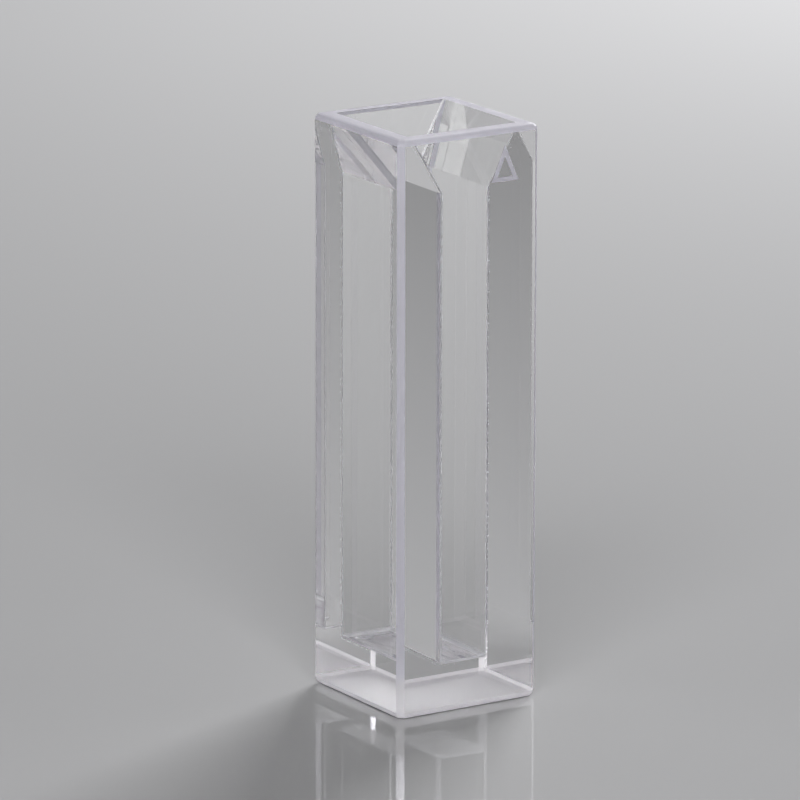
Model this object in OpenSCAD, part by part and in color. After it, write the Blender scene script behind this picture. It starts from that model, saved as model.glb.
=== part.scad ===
// Semi-micro cuvette: a square fused-quartz cell with two thin windows, two
// thick side walls, a thick base and a mouth that flares out over the chamber.
// Origin at the middle of the underside, +Z up, light path along Y.

/* [Cell] */
// Width of the cell across its side walls, along X
cell_w = 12.5; // [11.5:0.1:14]
// Depth of the cell across its windows, along Y
cell_d = 12.5; // [11.5:0.1:14]
// Height of the cell
cell_h = 45; // [35:0.5:55]

/* [Chamber] */
// Width of the chamber between the side walls
chamber_w = 4.25; // [3.5:0.05:5.5]
// Thickness of each window, at either end of the light path
window_t = 1.25; // [1:0.05:1.6]
// Thickness of the base under the chamber
base_t = 3.6; // [2.5:0.1:5]
// Radius of the fused seams inside the chamber
seam_r = 0.2; // [0.1:0.05:0.4]

/* [Mouth] */
// Height of the flared mouth, from the shoulders to the rim
mouth_h = 4.6; // [3:0.1:7]
// Thickness that the shoulders leave of each side wall at the rim
rim_t = 1.4; // [1:0.05:2]

/* [Ground edges] */
// Width of the ground chamfer on the four upright edges
upright_c = 0.4; // [0.2:0.05:0.7]
// Width of the ground chamfer round the rim
rim_c = 0.45; // [0.2:0.05:0.7]
// Width of the ground chamfer round the foot
foot_c = 0.5; // [0.2:0.05:0.8]

/* [Orientation mark] */
// Width of the etched triangle
mark_w = 2.4; // [1.5:0.1:3]
// Height of the etched triangle
mark_h = 2.8; // [1.5:0.1:4]
// Width of its line
mark_line = 0.35; // [0.2:0.05:0.5]
// Depth of the etching
mark_depth = 0.05; // [0.02:0.01:0.1]
// Distance from the side of the cell to the middle of the triangle
mark_side = 3.15; // [2.5:0.05:5]
// Distance from the rim down to the tip of the triangle
mark_drop = 1.3; // [1:0.1:4]

/* [Hidden] */
$fn = 48;
past = 1; // how far a cutter runs past the face that it opens
chamber_d = cell_d - 2 * window_t;
shoulder_z = cell_h - mouth_h;
mouth_w = cell_w - 2 * rim_t;

// A w by h rectangle, centred in X and standing on the X axis, with cut corners:
// foot at the bottom and head at the top
module cut_corner_rect(w, h, foot, head) {
    polygon([
        [-w / 2 + foot, 0], [w / 2 - foot, 0], [w / 2, foot], [w / 2, h - head],
        [w / 2 - head, h], [-w / 2 + head, h], [-w / 2, h - head], [-w / 2, foot]
    ]);
}

// The square block with every outer edge ground off
module block() {
    intersection() {
        translate([0, -cell_d / 2, 0]) linear_extrude(cell_h)
            cut_corner_rect(cell_w, cell_d, upright_c, upright_c);
        rotate([90, 0, 0]) linear_extrude(cell_d + 2 * past, center = true)
            cut_corner_rect(cell_w, cell_h, foot_c, rim_c);
        rotate([90, 0, 90]) linear_extrude(cell_w + 2 * past, center = true)
            cut_corner_rect(cell_d, cell_h, foot_c, rim_c);
    }
}

// A rectangle of w by d about the origin, with round corners
module round_rect(w, d) {
    square([w - 2 * seam_r, d], center = true);
    square([w, d - 2 * seam_r], center = true);
    for (x = [-1, 1], y = [-1, 1])
        translate([x * (w / 2 - seam_r), y * (d / 2 - seam_r)]) circle(seam_r);
}

// The upright slot between the windows, open at the rim
module chamber() {
    translate([0, 0, base_t]) linear_extrude(cell_h - base_t + past)
        round_rect(chamber_w, chamber_d);
}

// The flare over the slot: its shoulders slope, and the windows stay plane
module mouth() {
    rotate([90, 0, 0]) linear_extrude(chamber_d, center = true)
        polygon([
            [-chamber_w / 2, shoulder_z], [chamber_w / 2, shoulder_z],
            [mouth_w / 2, cell_h], [mouth_w / 2, cell_h + past],
            [-mouth_w / 2, cell_h + past], [-mouth_w / 2, cell_h]
        ]);
}

// A triangle on its base line, with its tip at the origin
module triangle(w, h) {
    polygon([[0, 0], [-w / 2, -h], [w / 2, -h]]);
}

// The etched triangle, near the top of the front window
module orientation_mark() {
    slant = sqrt(mark_h * mark_h + mark_w * mark_w / 4);
    tip_line = mark_line * slant / (mark_w / 2);
    inner_h = mark_h - mark_line - tip_line;
    translate([cell_w / 2 - mark_side, -cell_d / 2 + mark_depth, cell_h - mark_drop])
        rotate([90, 0, 0]) linear_extrude(mark_depth + past) difference() {
            triangle(mark_w, mark_h);
            translate([0, -tip_line]) triangle(inner_h * mark_w / mark_h, inner_h);
        }
}

module cell() {
    color([0.86, 0.87, 0.93, 0.5]) difference() {
        block();
        chamber();
        mouth();
        orientation_mark();
    }
}

cell();
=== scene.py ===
"""Finish and stage for a semi-micro quartz cuvette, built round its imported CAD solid.

The cell is one surface of quartz: an outer skin with ground edges, an inner skin for the chamber
and its flared mouth, and an etched triangle on one window. Strings of tiny bubbles lie in its
fused seams. Lengths are in metres, +Z is up and the light path runs along Y.
"""

import math

import bmesh
import bpy
import numpy as np
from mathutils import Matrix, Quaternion, Vector


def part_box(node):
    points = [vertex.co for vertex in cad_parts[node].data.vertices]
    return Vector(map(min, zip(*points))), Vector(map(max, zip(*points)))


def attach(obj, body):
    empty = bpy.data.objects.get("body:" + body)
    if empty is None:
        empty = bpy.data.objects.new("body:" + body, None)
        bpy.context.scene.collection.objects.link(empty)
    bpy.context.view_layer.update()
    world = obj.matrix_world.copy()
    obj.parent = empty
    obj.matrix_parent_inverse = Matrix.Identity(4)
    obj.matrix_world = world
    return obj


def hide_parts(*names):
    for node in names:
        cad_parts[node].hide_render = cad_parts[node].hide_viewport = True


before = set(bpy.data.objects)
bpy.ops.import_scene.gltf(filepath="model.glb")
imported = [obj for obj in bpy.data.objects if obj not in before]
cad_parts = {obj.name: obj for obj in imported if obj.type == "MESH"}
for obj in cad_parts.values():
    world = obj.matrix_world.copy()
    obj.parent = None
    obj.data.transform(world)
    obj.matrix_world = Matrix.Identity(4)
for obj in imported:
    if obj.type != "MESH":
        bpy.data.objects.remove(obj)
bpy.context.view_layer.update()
CELL_LOW, CELL_HIGH = (np.array(corner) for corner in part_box("cell"))

bl_info = {
    "name": "Quartz cuvette",
    "version": (1, 0, 0),
    "blender": (4, 5, 0),
    "location": "View3D > Sidebar > Cuvette",
    "description": "Builds a semi-micro quartz cuvette and the stage that it stands on",
    "category": "Add Mesh",
}

MM = 0.001
HALF_X, HALF_Y = (CELL_HIGH - CELL_LOW)[:2] / 2
HEIGHT = CELL_HIGH[2]
CORNER_SIGNS = np.array([(-1, -1), (1, -1), (1, 1), (-1, 1)])  # from front left to back left
POLISHED, GROUND, FOOT, FOOT_EDGE, SEAM, CHAMBER_FLOOR = range(6)  # material slots of the cell

# How finely the cell's surface is divided
CORNER_STEPS = 6  # facets round each upright corner
SIDE_STEPS = 12  # facets along each side
RING = 4 * (CORNER_STEPS + SIDE_STEPS)  # points round the cell
ON_CORNER = np.tile(np.arange(CORNER_STEPS + SIDE_STEPS) < CORNER_STEPS, 4)  # a ring's corner facets
ROUND_STEPS = 3  # facets up the foot's and the rim's rounded edges
COVE_STEPS = 5  # facets up the seam round the chamber's floor
SIDE_LEVELS = 61  # levels up the block's sides
WALL_LEVELS = 190  # levels up the chamber's walls
FLARE_LEVELS = 91  # levels up the flared mouth

# Forms of the ground edges and of the fused seams
EDGE_ROUNDNESS = 0.15  # of the upright edges, where 0 is a flat chamfer and 1 a quarter round
END_WIDTH = 0.55  # share of its full width that an upright edge has at its ends
END_GAIN = 0.45  # share that it gains from there
SEAM_THINNEST = 0.88  # least radius of an upright seam, as a share of the seam radius
SEAM_THICKEST = 1.15  # greatest radius, in the same way
SEAM_LEAST = 0.1  # least share of its radius that a seam keeps in the cove
FLARE_OUT_Z = -0.4  # z part of the way from a seam of the mouth out into solid quartz

# How the bubbles are thrown along a seam
BUBBLE_FILL = 0.72  # mean share of the places that hold a bubble
BUBBLE_CROWDING = 0.35  # how far that share swings along a seam
BUBBLE_FINENESS = 2.5  # the higher, the more of the bubbles are small

# Seeds of the random draws
EDGE_SEEDS = (11, 12, 13, 14)
FOOT_SEED = 21
RIM_SEED = 22
SEAM_SEED = 5
BUBBLE_SEED = 17

# Stage
FLOOR_HALF = 1.5  # half of the floor's width
FLOOR_DROP = 0.00002  # keeps the floor's face off the cell's underside
LAMP_SIZE = 0.22
LAMP_DISTANCE = 0.5
CAMERA_AZIMUTH = math.radians(-32.564)
CAMERA_ELEVATION = math.radians(14.343)
CAMERA_ROLL = math.radians(0.088)
CAMERA_DISTANCE = 0.5609
CAMERA_AIM = (-0.002255, 0.0, 0.023298)
CAMERA_SENSOR = 36  # width, in millimetres
CAMERA_LENS = 331.8  # focal length, in millimetres
LIGHT_BOUNCES = 32


class CellSizes(bpy.types.PropertyGroup):
    """Sizes of the cell, and how far hand grinding and fusing left it out of true.

    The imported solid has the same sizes, except that its foot edge is a little narrower, its seams
    are rounder, and it has neither the cove nor anything out of true.
    """

    chamber_width: bpy.props.FloatProperty(
        name="Chamber width", description="Between the side walls", default=4.25 * MM, unit="LENGTH"
    )
    window: bpy.props.FloatProperty(
        name="Window", description="Thickness of each window", default=1.25 * MM, unit="LENGTH"
    )
    base: bpy.props.FloatProperty(
        name="Base", description="Thickness under the chamber", default=3.6 * MM, unit="LENGTH"
    )
    mouth_height: bpy.props.FloatProperty(
        name="Mouth height", description="From the shoulders to the rim", default=4.6 * MM, unit="LENGTH"
    )
    rim_wall: bpy.props.FloatProperty(
        name="Rim wall",
        description="Thickness of the side walls at the rim",
        default=1.4 * MM,
        unit="LENGTH",
    )
    seam_radius: bpy.props.FloatProperty(
        name="Seam radius", description="Mean radius of the fused seams", default=0.12 * MM, unit="LENGTH"
    )
    cove_radius: bpy.props.FloatProperty(
        name="Cove radius",
        description="Radius of the seam round the floor",
        default=0.26 * MM,
        unit="LENGTH",
    )
    seam_right: bpy.props.FloatVectorProperty(
        name="Seams to the right",
        description="How far the upright seams stand right of true, from front left to back left",
        default=(0.0, -0.03 * MM, 0.17 * MM, 0.15 * MM),
        size=4,
        unit="LENGTH",
    )
    seam_back: bpy.props.FloatVectorProperty(
        name="Seams to the back",
        description="How far the upright seams stand back of true, from front left to back left",
        default=(0.0, 0.0, -0.05 * MM, 0.0),
        size=4,
        unit="LENGTH",
    )
    sides_right: bpy.props.FloatVectorProperty(
        name="Corners to the right",
        description="How far the block's corners stand right of true, from front left to back left",
        default=(0.0, 0.0, -0.07 * MM, 0.015 * MM),
        size=4,
        unit="LENGTH",
    )
    sides_back: bpy.props.FloatVectorProperty(
        name="Corners to the back",
        description="How far the block's corners stand back of true, from front left to back left",
        default=(0.015 * MM, 0.0, -0.165 * MM, 0.0),
        size=4,
        unit="LENGTH",
    )
    upright_edges: bpy.props.FloatVectorProperty(
        name="Upright edges",
        description="Ground width at the front left, front right, back right and back left",
        default=(0.46 * MM, 0.42 * MM, 0.4 * MM, 0.44 * MM),
        size=4,
        unit="LENGTH",
    )
    rim_edge: bpy.props.FloatProperty(
        name="Rim edge", description="Ground width round the rim", default=0.45 * MM, unit="LENGTH"
    )
    foot_edge: bpy.props.FloatProperty(
        name="Foot edge", description="Ground width round the foot", default=0.55 * MM, unit="LENGTH"
    )
    waver: bpy.props.FloatProperty(
        name="Waver", description="How far a ground edge wanders", default=0.02 * MM, unit="LENGTH"
    )


class MarkSizes(bpy.types.PropertyGroup):
    """Sizes of the etched triangle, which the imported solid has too."""

    width: bpy.props.FloatProperty(
        name="Width", description="Of the triangle's foot", default=2.4 * MM, unit="LENGTH"
    )
    height: bpy.props.FloatProperty(
        name="Height", description="From the triangle's foot to its tip", default=2.8 * MM, unit="LENGTH"
    )
    line: bpy.props.FloatProperty(
        name="Line", description="Width of the etched line", default=0.35 * MM, unit="LENGTH"
    )
    depth: bpy.props.FloatProperty(
        name="Depth", description="How deep the line is etched", default=0.05 * MM, unit="LENGTH"
    )
    side: bpy.props.FloatProperty(
        name="From the side", description="From the right side to the tip", default=3.15 * MM, unit="LENGTH"
    )
    drop: bpy.props.FloatProperty(
        name="Drop", description="From the rim to the tip", default=1.3 * MM, unit="LENGTH"
    )


class BubbleSizes(bpy.types.PropertyGroup):
    """The bubbles that fusing left in the seams."""

    spacing: bpy.props.FloatProperty(
        name="Spacing", description="Mean distance along a seam", default=0.12 * MM, unit="LENGTH"
    )
    smallest: bpy.props.FloatProperty(
        name="Smallest", description="Smallest radius", default=0.012 * MM, unit="LENGTH"
    )
    largest: bpy.props.FloatProperty(
        name="Largest", description="Largest radius", default=0.045 * MM, unit="LENGTH"
    )
    spread: bpy.props.FloatProperty(
        name="Spread", description="How far a bubble lies from its seam", default=0.06 * MM, unit="LENGTH"
    )


class CellFinish(bpy.types.PropertyGroup):
    """Colours and gloss of the quartz."""

    clear_tint: bpy.props.FloatVectorProperty(
        name="Clear tint",
        description="Tint of the polished quartz",
        default=(1.0, 1.0, 1.0),
        subtype="COLOR",
    )
    ground_tint: bpy.props.FloatVectorProperty(
        name="Ground tint",
        description="Colour of the ground rim and upright edges",
        default=(0.84, 0.82, 0.93),
        subtype="COLOR",
    )
    foot_tint: bpy.props.FloatVectorProperty(
        name="Foot tint",
        description="Colour of the ground foot",
        default=(0.98, 0.96, 0.995),
        subtype="COLOR",
    )
    ground_clearness: bpy.props.FloatProperty(
        name="Ground clearness",
        description="Share of light that the ground edges pass",
        default=0.6,
        subtype="FACTOR",
    )
    foot_glow: bpy.props.FloatProperty(
        name="Foot glow",
        description="Share of light that scatters through the foot's edge",
        default=0.5,
        subtype="FACTOR",
    )
    haze_tint: bpy.props.FloatVectorProperty(
        name="Haze tint",
        description="Colour of the haze on the chamber's floor",
        default=(0.3, 0.29, 0.37),
        subtype="COLOR",
    )
    bubble_tint: bpy.props.FloatVectorProperty(
        name="Bubble tint",
        description="Colour of the seam bubbles",
        default=(0.95, 0.95, 0.98),
        subtype="COLOR",
    )
    ior: bpy.props.FloatProperty(name="IOR", description="Refractive index of fused quartz", default=1.458)


class StageLook(bpy.types.PropertyGroup):
    """Colour and gloss of the floor that the cell stands on."""

    floor_tint: bpy.props.FloatVectorProperty(
        name="Floor",
        description="Colour of the polished floor",
        default=(0.55, 0.55, 0.56),
        subtype="COLOR",
    )
    floor_roughness: bpy.props.FloatProperty(
        name="Floor roughness",
        description="How blurred the floor's mirror image is",
        default=0.0,
        subtype="FACTOR",
    )


class Sock:
    """A shader value that adds a Math node for each operator used on it."""

    def __init__(self, tree, socket):
        self.tree = tree
        self.socket = socket

    def math(self, operation, first, second=0.0, clamp=False):
        node = self.tree.nodes.new("ShaderNodeMath")
        node.operation = operation
        node.use_clamp = clamp
        feed(self.tree, node.inputs[0], first)
        feed(self.tree, node.inputs[1], second)
        return Sock(self.tree, node.outputs[0])

    def __add__(self, other):
        return self.math("ADD", self, other)

    def __sub__(self, other):
        return self.math("SUBTRACT", self, other)

    def __rsub__(self, other):
        return self.math("SUBTRACT", other, self)

    def __mul__(self, other):
        return self.math("MULTIPLY", self, other)

    def clamped(self):
        """The same value, held between 0 and 1."""
        return self.math("ADD", self, 0.0, clamp=True)

    __radd__ = __add__
    __rmul__ = __mul__


def feed(tree, socket, value):
    """Links a Sock to a socket, or sets the socket to a plain value."""
    if isinstance(value, Sock):
        tree.links.new(value.socket, socket)
    elif isinstance(value, (tuple, list)) and len(value) == 3 and socket.type == "RGBA":
        socket.default_value = (*value, 1.0)
    else:
        socket.default_value = value


class Shader:
    """The node tree of a new material or of a lamp, with one method that adds any node."""

    def __init__(self, name, lamp=None):
        self.owner = lamp or bpy.data.materials.new(name)
        self.owner.use_nodes = True
        self.tree = self.owner.node_tree
        self.tree.nodes.clear()

    def add(self, kind, settings=(), output=0, **sockets):
        """Adds a node: its settings first, then its sockets, named with _ for a space."""
        node = self.tree.nodes.new("ShaderNode" + kind)
        for key, value in dict(settings).items():
            setattr(node, key, value)
        for key, value in sockets.items():
            feed(self.tree, node.inputs[key.replace("_", " ")], value)
        return Sock(self.tree, node.outputs[output])

    def noise(self, place, scale, detail=2.0, roughness=0.5):
        """Fractal noise, about 0 to 1."""
        return self.add("TexNoise", Vector=place, Scale=scale, Detail=detail, Roughness=roughness)

    def mix(self, factor, first, second):
        """A Mix Shader: the first shader where factor is 0, the second where it is 1."""
        node = self.tree.nodes.new("ShaderNodeMixShader")
        for socket, value in zip(node.inputs, (factor, first, second)):
            feed(self.tree, socket, value)
        return Sock(self.tree, node.outputs[0])

    def smooth(self, value, start, end):
        """Eases from 0 where the value is start to 1 where it is end."""
        ease = {"interpolation_type": "SMOOTHSTEP"}
        if start > end:
            return 1 - self.add("MapRange", ease, Value=value, From_Min=end, From_Max=start)
        return self.add("MapRange", ease, Value=value, From_Min=start, From_Max=end)

    def surface(self, shader, output="OutputMaterial"):
        """Feeds the shader to the output, and returns the material or the lamp."""
        node = self.tree.nodes.new("ShaderNode" + output)
        feed(self.tree, node.inputs["Surface"], shader)
        return self.owner


def ripple(along, seed, waves=5):
    """A smooth wander between -1 and 1 along a length of 1: a weighted mean of sines.

    The seed gives each its phase and its pitch, 1 to 9 waves, and its weight is 1 / sqrt(pitch).
    """
    dice = np.random.default_rng(seed)
    pitch = dice.uniform(1.0, 9.0, waves)
    phase = dice.uniform(0.0, 2 * np.pi, waves)
    height = 1 / np.sqrt(pitch)
    total = sum(h * np.sin(2 * np.pi * p * along + f) for h, p, f in zip(height, pitch, phase))
    return total / height.sum()


def rings(half_x, half_y, leg, roundness):
    """Rings round a rectangle with blunt corners, one ring for each row.

    A corner's points are its centre plus leg times (cos, sin) over a quarter turn, drawn towards the
    straight chord as roundness falls from 1 to 0. The sides between are split evenly.
    """
    rows = len(half_x)
    step = np.linspace(0, 1, CORNER_STEPS + 1)
    start = np.pi + np.arange(4) * np.pi / 2
    turn = start[:, None] + step * np.pi / 2
    arc = np.stack([np.cos(turn), np.sin(turn)], -1)
    chord = arc[:, :1] * (1 - step)[None, :, None] + arc[:, -1:] * step[None, :, None]
    blunt = roundness * arc + (1 - roundness) * chord
    half = np.stack([half_x, half_y], -1)[:, None, :]
    centre = CORNER_SIGNS * (half - leg[:, :, None])
    corner = centre[:, :, None, :] + leg[:, :, None, None] * blunt
    split = np.linspace(0, 1, SIDE_STEPS + 1)[1:-1]
    side_from = corner[:, :, -1:, :]
    side_to = np.roll(corner[:, :, :1, :], -1, axis=1)
    side = side_from + (side_to - side_from) * split[None, None, :, None]
    return np.concatenate([corner, side], 2).reshape(rows, RING, 2)


def skin(ring_points, heights):
    """Stacks rings at their heights into rows of points: (rows, RING, 3)."""
    up = np.broadcast_to(heights if heights.ndim == 2 else heights[:, None], ring_points.shape[:2])
    return np.concatenate([ring_points, up[..., None]], -1)


def lean(points, half_w, half_d, shift):
    """Shift on plan at each point: the four corners' shifts, blended along x and y."""
    across = (np.clip(points[..., :1] / half_w, -1, 1) + 1) / 2
    back = (np.clip(points[..., 1:] / half_d, -1, 1) + 1) / 2
    front_left, front_right, back_right, back_left = shift
    front = front_left + (front_right - front_left) * across
    rear = back_left + (back_right - back_left) * across
    return front + (rear - front) * back


def outer_skin(sizes):
    """The block's outside: ground foot, four ground upright edges and ground rim.

    The block is a little out of square: each point moves by the blend of its corners' shifts.
    Foot and rim are quarter rounds: from the flat, the way in is r * (1 - sin t) and the way up is
    r * (1 - cos t), while t goes from 0 to a quarter turn.
    """
    upright = np.array(sizes.upright_edges)
    foot, rim = sizes.foot_edge, sizes.rim_edge
    turn = np.linspace(0, np.pi / 2, ROUND_STEPS + 1)[:-1]
    levels = np.linspace(foot, HEIGHT - rim, SIDE_LEVELS)
    wander = np.stack([ripple(levels / HEIGHT, seed) for seed in EDGE_SEEDS], -1)
    leg = upright + sizes.waver * wander
    narrowed = upright * (END_WIDTH + END_GAIN * np.sin(turn))[:, None]
    leg = np.concatenate([narrowed, leg, narrowed[::-1]])
    inward, upward = 1 - np.sin(turn), 1 - np.cos(turn)
    inset = np.concatenate([foot * inward, np.zeros(len(levels)), rim * inward[::-1]])
    points = rings(HALF_X - inset, HALF_Y - inset, leg, EDGE_ROUNDNESS)
    points += lean(points, HALF_X, HALF_Y, np.stack([sizes.sides_right, sizes.sides_back], -1))
    around = np.arange(RING) / RING
    height = np.concatenate([foot * upward, levels, HEIGHT - rim * upward[::-1]])
    height = np.broadcast_to(height[:, None], (len(inset), RING)).copy()
    height[ROUND_STEPS] += sizes.waver * ripple(around, FOOT_SEED)
    height[-ROUND_STEPS - 1] -= sizes.waver * ripple(around, RIM_SEED)
    return skin(points, height)


def seam_corners(sizes):
    """Places of the four upright seams on plan, from front left to back left."""
    true = CORNER_SIGNS * (sizes.chamber_width / 2, HALF_Y - sizes.window)
    return true + np.stack([sizes.seam_right, sizes.seam_back], -1)


def inner_skin(sizes):
    """The chamber and its mouth, from the floor up, with fused seams whose radius wanders.

    The cove round the floor is a quarter round, with its way in and its way up as in outer_skin. Over
    the shoulders the half width grows evenly with height to what the rim's walls leave.
    The seams stand a little out of true: each point moves by the blend of its corners' shifts, and
    the sideways part of that fades out as the mouth flares.
    """
    half_w, half_d = sizes.chamber_width / 2, HALF_Y - sizes.window
    shoulder = HEIGHT - sizes.mouth_height
    mouth_half = HALF_X - sizes.rim_wall
    radius = sizes.seam_radius
    cove = np.linspace(0, np.pi / 2, COVE_STEPS + 1)
    cove_z = sizes.base + sizes.cove_radius * (1 - np.cos(cove))
    cove_in = sizes.cove_radius * (1 - np.sin(cove))
    wall_z = np.linspace(sizes.base + sizes.cove_radius, shoulder, WALL_LEVELS)[1:]
    flare_z = np.linspace(shoulder, HEIGHT, FLARE_LEVELS)[1:]
    heights = np.concatenate([cove_z, wall_z, flare_z])
    inset = np.concatenate([cove_in, np.zeros(len(wall_z) + len(flare_z))])
    flare = np.clip((heights - shoulder) / sizes.mouth_height, 0, 1)
    half_x = half_w + (mouth_half - half_w) * flare - inset
    half_y = half_d - inset
    dice = np.random.default_rng(SEAM_SEED)
    leg = radius * dice.uniform(SEAM_THINNEST, SEAM_THICKEST, (len(heights), 4))
    leg = np.maximum(leg - inset[:, None], SEAM_LEAST * radius)
    points = rings(half_x, half_y, leg, 1.0)
    shift = lean(points, half_w, half_d, np.stack([sizes.seam_right, sizes.seam_back], -1))
    shift[..., 0] *= (1 - flare)[:, None]
    return skin(points + shift, heights)


def strips(first, rows, flip=False):
    """Quads between rows of a skin whose points start at index first."""
    row, column = np.meshgrid(np.arange(rows - 1), np.arange(RING), indexing="ij")
    beside = (column + 1) % RING
    quads = np.stack(
        [row * RING + column, row * RING + beside, (row + 1) * RING + beside, (row + 1) * RING + column], -1
    )
    quads = first + quads.reshape(-1, 4)
    return quads[:, ::-1] if flip else quads


def cell_mesh(sizes):
    """Joins both skins by a ground rim, and closes the foot and the chamber's floor."""
    outer, inner = outer_skin(sizes), inner_skin(sizes)
    points = np.concatenate([outer.reshape(-1, 3), inner.reshape(-1, 3)])
    inner_first = outer.shape[0] * RING
    out_faces = strips(0, outer.shape[0])
    in_faces = strips(inner_first, inner.shape[0], flip=True)
    top_out = inner_first - RING + np.arange(RING)
    top_in = len(points) - RING + np.arange(RING)
    rim_faces = np.stack([top_out, np.roll(top_out, -1), np.roll(top_in, -1), top_in], -1)
    out_row = np.repeat(np.arange(outer.shape[0] - 1), RING)
    out_slots = np.where(np.tile(ON_CORNER, outer.shape[0] - 1), GROUND, POLISHED)
    out_slots[out_row >= outer.shape[0] - 1 - ROUND_STEPS] = GROUND
    out_slots[out_row < ROUND_STEPS] = FOOT_EDGE
    in_row = np.repeat(np.arange(inner.shape[0] - 1), RING)
    in_slots = np.where(np.tile(ON_CORNER, inner.shape[0] - 1) | (in_row < COVE_STEPS), SEAM, POLISHED)
    foot_face = np.arange(RING)[::-1].tolist()
    floor_face = (inner_first + np.arange(RING)).tolist()
    faces = [*out_faces.tolist(), *in_faces.tolist(), *rim_faces.tolist(), foot_face, floor_face]
    rim_slots = np.full(RING, GROUND)
    slots = np.concatenate([out_slots, in_slots, rim_slots, [FOOT, CHAMBER_FLOOR]]).astype(np.int32)
    mesh = bpy.data.meshes.new("fused_cell")
    mesh.from_pydata(points.tolist(), [], faces)
    mesh.polygons.foreach_set("material_index", slots)
    mesh.update()
    return mesh


def clear_quartz(shader, finish):
    """The body of polished quartz, which other finishes are mixed with."""
    return shader.add(
        "BsdfPrincipled",
        Base_Color=tuple(finish.clear_tint),
        Roughness=0.0,
        IOR=finish.ior,
        Transmission_Weight=1.0,
    )


def polished_quartz(finish):
    """The windows, the side walls and the chamber's walls."""
    shader = Shader("polished_quartz")
    return shader.surface(clear_quartz(shader, finish))


def frosted_quartz(shader, place, tint, clearness):
    """Part of the light scatters as on chalk and part passes blurred, over a fine bumpy grain."""
    cloud = shader.noise(place, scale=900.0, detail=3.0)
    grain = shader.noise(place, scale=16000.0)
    bump = shader.add("Bump", Height=grain, Strength=0.25, Distance=0.02 * MM)
    return shader.add(
        "BsdfPrincipled",
        Base_Color=tuple(tint),
        Roughness=cloud * 0.25 + 0.45,
        Transmission_Weight=clearness,
        Normal=bump,
    )


def milky_quartz(shader, place, finish):
    """The heavily ground foot: light scatters back as on chalk, and above the contact also through."""
    full_glow = 0.15 * MM  # height over the floor from which light scatters through in full
    chalk = frosted_quartz(shader, place, finish.foot_tint, 0.0)
    through = shader.add("BsdfTranslucent", Color=tuple(finish.foot_tint))
    height = shader.add("SeparateXYZ", output="Z", Vector=place)
    glow = shader.smooth(height, 0.0, full_glow) * finish.foot_glow
    return shader.mix(glow, chalk, through)


def ground_quartz(finish):
    """The ground rim and upright edges. Near the foot the edges take the foot's whiter, milky finish, a
    painted glow that stands in for the light that the base scatters there.
    """
    # Painted glow: the edges start to whiten 3.8 mm up and are as white as the foot from 2.4 mm down
    painted_glow_top, painted_glow_from = 2.4 * MM, 3.8 * MM
    shader = Shader("ground_quartz")
    place = shader.add("TexCoord", output="Object")
    height = shader.add("SeparateXYZ", output="Z", Vector=place)
    frosted = frosted_quartz(shader, place, finish.ground_tint, finish.ground_clearness)
    milky = milky_quartz(shader, place, finish)
    # Painted glow: mixes in the foot's whiter finish towards the foot
    painted_glow = shader.smooth(height, painted_glow_from, painted_glow_top)
    return shader.surface(shader.mix(painted_glow, frosted, milky))


def ground_foot_edge(finish):
    """The rounded edge of the foot, which light inside the walls scatters through."""
    shader = Shader("ground_foot_edge")
    place = shader.add("TexCoord", output="Object")
    return shader.surface(milky_quartz(shader, place, finish))


def ground_underside(finish):
    """The underside that the cell stands on, which lets no light through."""
    shader = Shader("ground_underside")
    place = shader.add("TexCoord", output="Object")
    return shader.surface(frosted_quartz(shader, place, finish.foot_tint, 0.0))


def fused_seam(finish, base):
    """A fused seam: clear quartz, clouded white in beads by fine bubbles, and all white round the floor."""
    white_top, beads_from = base + 0.4 * MM, base + 0.9 * MM
    shader = Shader("fused_seam")
    place = shader.add("TexCoord", output="Object")
    height = shader.add("SeparateXYZ", output="Z", Vector=place)
    beads = shader.noise(place, scale=3200.0, detail=2.0, roughness=0.6)
    clouded = ((beads - 0.3) * 5.0).clamped() * 0.25 + 0.75
    clouded = (clouded + shader.smooth(height, beads_from, white_top)).clamped()
    cloud = shader.add(
        "BsdfPrincipled", Base_Color=tuple(finish.bubble_tint), Roughness=0.4, IOR=finish.ior
    )
    return shader.surface(shader.mix(clouded, clear_quartz(shader, finish), cloud))


def chamber_floor(finish):
    """The floor inside the chamber: clear quartz under a thin haze, in streaks along the chamber."""
    shader = Shader("chamber_floor")
    place = shader.add("TexCoord", output="Object")
    drawn = shader.add("Mapping", Vector=place, Scale=(1.0, 0.22, 1.0))
    streaks = shader.noise(drawn, scale=1500.0, detail=4.0, roughness=0.6)
    haze = ((streaks - 0.35) * 2.2).clamped() * 0.5 + 0.15
    matt = shader.add(
        "BsdfPrincipled",
        Base_Color=tuple(finish.haze_tint),
        Roughness=0.5,
        IOR=finish.ior,
        Transmission_Weight=0.3,
    )
    return shader.surface(shader.mix(haze, clear_quartz(shader, finish), matt))


def bubble_white(finish):
    """A bubble scatters all the light that meets it."""
    shader = Shader("bubble_white")
    body = shader.add(
        "BsdfPrincipled", Base_Color=tuple(finish.bubble_tint), Roughness=0.3, IOR=finish.ior
    )
    return shader.surface(body)


def triangle_outlines(mark):
    """Outlines of the etched triangle and of its hollow, as (x, z) points.

    The line is as wide along the foot as on both slants: on a slant of run w / 2 and rise h, a line
    of width t lowers the tip by t * sqrt(h * h + w * w / 4) / (w / 2).
    """
    slant = math.hypot(mark.height, mark.width / 2)
    tip_line = mark.line * slant / (mark.width / 2)
    inner_height = mark.height - mark.line - tip_line
    tip = np.array((HALF_X - mark.side, HEIGHT - mark.drop))
    outlines = []
    for width, height, below in (
        (mark.width, mark.height, 0.0),
        (mark.width * inner_height / mark.height, inner_height, tip_line),
    ):
        foot = -below - height
        outlines.append(tip + np.array([(0, -below), (-width / 2, foot), (width / 2, foot)]))
    return outlines


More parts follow.
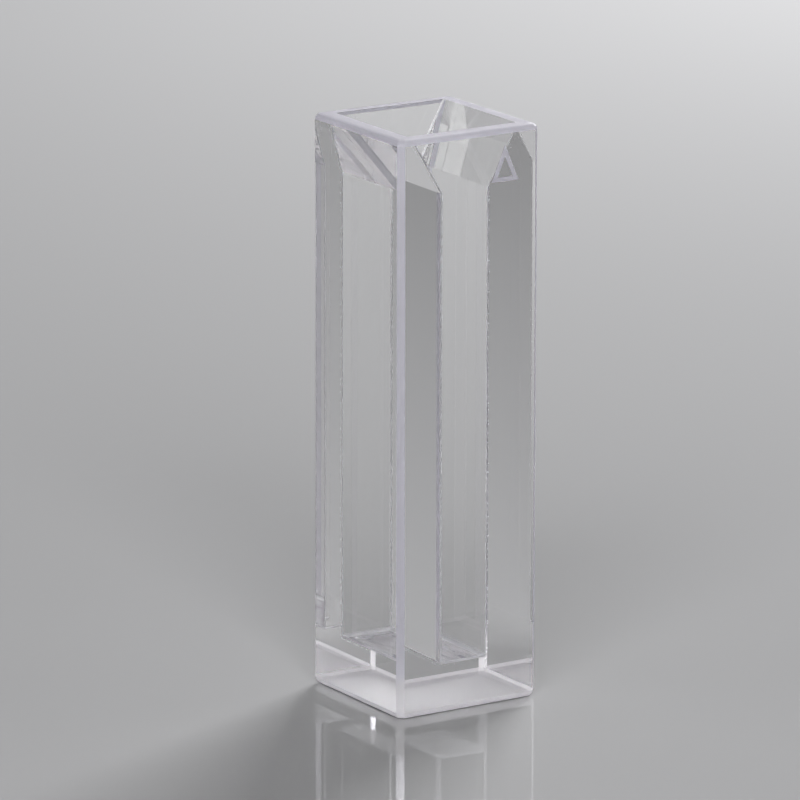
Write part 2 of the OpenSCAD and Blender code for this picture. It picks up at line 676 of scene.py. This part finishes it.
def mark_cutter(mark):
    """A closed triangular ring that reaches from in front of the window to the etched depth.

    Its points are the outer and the inner triangle in front, then the same two at the back.
    """
    outline = np.concatenate(triangle_outlines(mark))
    front, back = -HALF_Y - mark.depth, -HALF_Y + mark.depth
    points = [(x, y, z) for y in (front, back) for x, z in outline]
    faces = []
    for here in range(3):
        there = (here + 1) % 3
        faces += [(here, there, there + 3, here + 3), (here + 6, here + 9, there + 9, there + 6)]
        faces += [(here, here + 6, there + 6, there), (here + 3, there + 3, there + 9, here + 9)]
    mesh = bpy.data.meshes.new("mark_cutter")
    mesh.from_pydata(points, [], faces)
    mesh.polygons.foreach_set("material_index", np.full(len(faces), GROUND, dtype=np.int32))
    mesh.update()
    return mesh


def etch(cell, mark):
    """Cuts the mark out of the cell, and gives the cut the ground finish."""
    cutter = bpy.data.objects.new("mark_cutter", mark_cutter(mark))
    for material in cell.data.materials:
        cutter.data.materials.append(material)
    bpy.context.collection.objects.link(cutter)
    cut = cell.modifiers.new("mark", "BOOLEAN")
    cut.operation, cut.solver, cut.object = "DIFFERENCE", "EXACT", cutter
    bpy.context.view_layer.update()
    etched = cell.evaluated_get(bpy.context.evaluated_depsgraph_get())
    mesh = bpy.data.meshes.new_from_object(etched)
    cell.modifiers.clear()
    cell.data = mesh
    bpy.data.objects.remove(cutter)


def seam_lines(sizes):
    """Ends of every fused seam, each with the way out into solid quartz."""
    mouth_half, shoulder = HALF_X - sizes.rim_wall, HEIGHT - sizes.mouth_height
    corners = seam_corners(sizes)
    lines = []
    for corner, (sx, sy) in zip(corners, CORNER_SIGNS):
        low, knee = (*corner, sizes.base), (*corner, shoulder)
        top = (sx * mouth_half, corner[1], HEIGHT - sizes.rim_edge)
        lines += [(low, knee, (sx, sy, 0)), (knee, top, (sx, sy, FLARE_OUT_Z))]
    outward = ((0, -1), (1, 0), (0, 1), (-1, 0))
    for here, there, way in zip(corners, np.roll(corners, -1, 0), outward):
        lines.append(((*here, sizes.base), (*there, sizes.base), (*way, -1)))
    return np.array(lines, dtype=float)


def bubble_places(sizes, bubbles):
    """Centres and radii of the bubbles, thrown along the seams where a ripple crowds them."""
    dice = np.random.default_rng(BUBBLE_SEED)
    span = bubbles.largest - bubbles.smallest
    centres, radii = [], []
    for start, end, out in seam_lines(sizes):
        count = int(np.linalg.norm(end - start) / bubbles.spacing)
        along = np.sort(dice.random(count))
        crowd = ripple(along, int(dice.integers(1000)), waves=7)
        keep = dice.random(count) < BUBBLE_FILL + BUBBLE_CROWDING * crowd
        along = along[keep]
        radius = bubbles.smallest + span * dice.random(len(along)) ** BUBBLE_FINENESS
        away = radius + bubbles.spread * dice.random(len(along))
        outward = out / np.linalg.norm(out)
        centres.append(start + (end - start) * along[:, None] + outward * away[:, None])
        radii.append(radius)
    return np.concatenate(centres), np.concatenate(radii)


def ball_cloud(name, centres, radii):
    """One small ball at each centre, with its own radius."""
    pattern = bmesh.new()
    bmesh.ops.create_icosphere(pattern, subdivisions=1, radius=1.0)
    ball = np.array([point.co for point in pattern.verts])
    sides = np.array([[point.index for point in face.verts] for face in pattern.faces])
    pattern.free()
    points = centres[:, None, :] + radii[:, None, None] * ball
    faces = np.arange(len(centres))[:, None, None] * len(ball) + sides
    mesh = bpy.data.meshes.new(name)
    mesh.from_pydata(points.reshape(-1, 3).tolist(), [], faces.reshape(-1, 3).tolist(), shade_flat=False)
    return bpy.data.objects.new(name, mesh)


class CUVETTE_OT_fused_cell(bpy.types.Operator):
    """Build the quartz cell in place of its plain solid"""

    bl_idname = "cuvette.fused_cell"
    bl_label = "Fused cell"

    def execute(self, context):
        sizes, finish = context.scene.cuvette_sizes, context.scene.cuvette_finish
        cell = bpy.data.objects.new("fused_cell", cell_mesh(sizes))
        context.collection.objects.link(cell)
        for material in (
            polished_quartz(finish),
            ground_quartz(finish),
            ground_underside(finish),
            ground_foot_edge(finish),
            fused_seam(finish, sizes.base),
            chamber_floor(finish),
        ):
            cell.data.materials.append(material)
        etch(cell, context.scene.cuvette_mark)
        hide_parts("cell")
        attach(cell, "root")
        return {"FINISHED"}


class CUVETTE_OT_seam_bubbles(bpy.types.Operator):
    """Scatter tiny bubbles along the fused seams"""

    bl_idname = "cuvette.seam_bubbles"
    bl_label = "Seam bubbles"

    def execute(self, context):
        scene = context.scene
        centres, radii = bubble_places(scene.cuvette_sizes, scene.cuvette_bubbles)
        bubbles = ball_cloud("seam_bubbles", centres, radii)
        context.collection.objects.link(bubbles)
        bubbles.data.materials.append(bubble_white(scene.cuvette_finish))
        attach(bubbles, "root")
        return {"FINISHED"}


def fade_edge(lamp):
    """Fades a square lamp out to the circle that touches its sides, where it gives no light.

    Over the lamp, the distance from the middle, squared, is 4 ((u - 1/2)^2 + (v - 1/2)^2), and 1 at
    the sides. It gives full light up to 0.3, which is a circle a little over half as wide as the lamp.
    """
    full_light = 0.3
    shader = Shader(lamp.name, lamp)
    place = shader.add("NewGeometry", output="Parametric")
    across = shader.add("SeparateXYZ", output="X", Vector=place) - 0.5
    up = shader.add("SeparateXYZ", output="Y", Vector=place) - 0.5
    glow = shader.smooth((across * across + up * up) * 4.0, 1.0, full_light)
    shader.surface(shader.add("Emission", Strength=glow), "OutputLight")


def away_from_cell(azimuth, elevation):
    """The way out towards a lamp or the camera. Azimuth 0 is at -Y and a quarter turn at +X."""
    return Vector(
        (
            math.sin(azimuth) * math.cos(elevation),
            -math.cos(azimuth) * math.cos(elevation),
            math.sin(elevation),
        )
    )


def softbox(name, azimuth, elevation, power, mirrored=False):
    """A square lamp that faces the middle of the cell, with its angles in degrees.

    Glossy surfaces mirror it only where mirrored is set, and then it fades out towards its edge.
    """
    away = away_from_cell(math.radians(azimuth), math.radians(elevation))
    lamp = bpy.data.lights.new(name, "AREA")
    lamp.shape = "RECTANGLE"
    lamp.size = lamp.size_y = LAMP_SIZE
    lamp.energy = power
    if mirrored:
        fade_edge(lamp)
    holder = bpy.data.objects.new(name, lamp)
    bpy.context.collection.objects.link(holder)
    holder.location = Vector((0, 0, HEIGHT / 2)) + away * LAMP_DISTANCE
    holder.rotation_euler = away.to_track_quat("Z", "Y").to_euler()
    holder.visible_camera = False
    holder.visible_glossy = mirrored


def floor_material(look):
    """The plain polished floor."""
    shader = Shader("floor")
    body = shader.add("BsdfPrincipled", Base_Color=tuple(look.floor_tint), Roughness=look.floor_roughness)
    return shader.surface(body)


def lay_floor(context, look):
    """A square floor, a hair below the cell's underside."""
    mesh = bpy.data.meshes.new("floor")
    corners = [(x * FLOOR_HALF, y * FLOOR_HALF, -FLOOR_DROP) for x, y in CORNER_SIGNS.tolist()]
    mesh.from_pydata(corners, [], [(0, 1, 2, 3)])
    floor = bpy.data.objects.new("floor", mesh)
    context.collection.objects.link(floor)
    mesh.materials.append(floor_material(look))


def darken_world(context):
    """Only the lamps give light, so the world is black."""
    world = bpy.data.worlds.new("dark_room")
    world.use_nodes = True
    background = next(node for node in world.node_tree.nodes if node.type == "BACKGROUND")
    background.inputs["Color"].default_value = (0.0, 0.0, 0.0, 1.0)
    context.scene.world = world


class CUVETTE_OT_stage(bpy.types.Operator):
    """Lay the floor, and place the lamps and the camera"""

    bl_idname = "cuvette.stage"
    bl_label = "Stage"

    def execute(self, context):
        lay_floor(context, context.scene.cuvette_stage)
        darken_world(context)
        softbox("back_right_softbox", 126, 26, 3.0)
        softbox("back_left_softbox", -122, 18, 0.15)
        softbox("front_left_softbox", -19.5, 31, 1.5, mirrored=True)
        softbox("left_softbox", -45, 40, 0.85)
        softbox("right_softbox", 55, 18, 0.15)
        place_camera(context)
        context.scene.view_settings.view_transform = "Standard"
        cycles = context.scene.cycles
        cycles.max_bounces = LIGHT_BOUNCES
        cycles.glossy_bounces = LIGHT_BOUNCES
        cycles.transmission_bounces = LIGHT_BOUNCES
        cycles.use_denoising = True
        return {"FINISHED"}


def place_camera(context):
    """A camera that looks at its aim from its azimuth and elevation, rolled by a trace."""
    away = away_from_cell(CAMERA_AZIMUTH, CAMERA_ELEVATION)
    camera = bpy.data.objects.new("camera", bpy.data.cameras.new("camera"))
    context.collection.objects.link(camera)
    camera.location = Vector(CAMERA_AIM) + away * CAMERA_DISTANCE
    roll = Quaternion((0, 0, 1), CAMERA_ROLL)
    camera.rotation_euler = (away.to_track_quat("Z", "Y") @ roll).to_euler()
    camera.data.sensor_width = CAMERA_SENSOR
    camera.data.lens = CAMERA_LENS
    camera.data.clip_start = 0.01
    camera.data.clip_end = 20
    context.scene.camera = camera


class CUVETTE_PT_panel(bpy.types.Panel):
    """Buttons for each piece and the stage"""

    bl_label = "Cuvette"
    bl_idname = "CUVETTE_PT_panel"
    bl_space_type = "VIEW_3D"
    bl_region_type = "UI"
    bl_category = "Cuvette"

    def draw(self, context):
        for piece in OPERATORS:
            self.layout.operator(piece.bl_idname)


OPERATORS = (CUVETTE_OT_fused_cell, CUVETTE_OT_seam_bubbles, CUVETTE_OT_stage)
GROUPS = {
    "cuvette_sizes": CellSizes,
    "cuvette_mark": MarkSizes,
    "cuvette_bubbles": BubbleSizes,
    "cuvette_finish": CellFinish,
    "cuvette_stage": StageLook,
}


def register():
    for cls in (*GROUPS.values(), *OPERATORS, CUVETTE_PT_panel):
        bpy.utils.register_class(cls)
    for name, group in GROUPS.items():
        setattr(bpy.types.Scene, name, bpy.props.PointerProperty(type=group))


def unregister():
    for name in GROUPS:
        delattr(bpy.types.Scene, name)
    for cls in (CUVETTE_PT_panel, *OPERATORS[::-1], *list(GROUPS.values())[::-1]):
        bpy.utils.unregister_class(cls)


def main():
    register()
    bpy.ops.cuvette.fused_cell()
    bpy.ops.cuvette.seam_bubbles()
    bpy.ops.cuvette.stage()


if __name__ == "__main__":
    main()
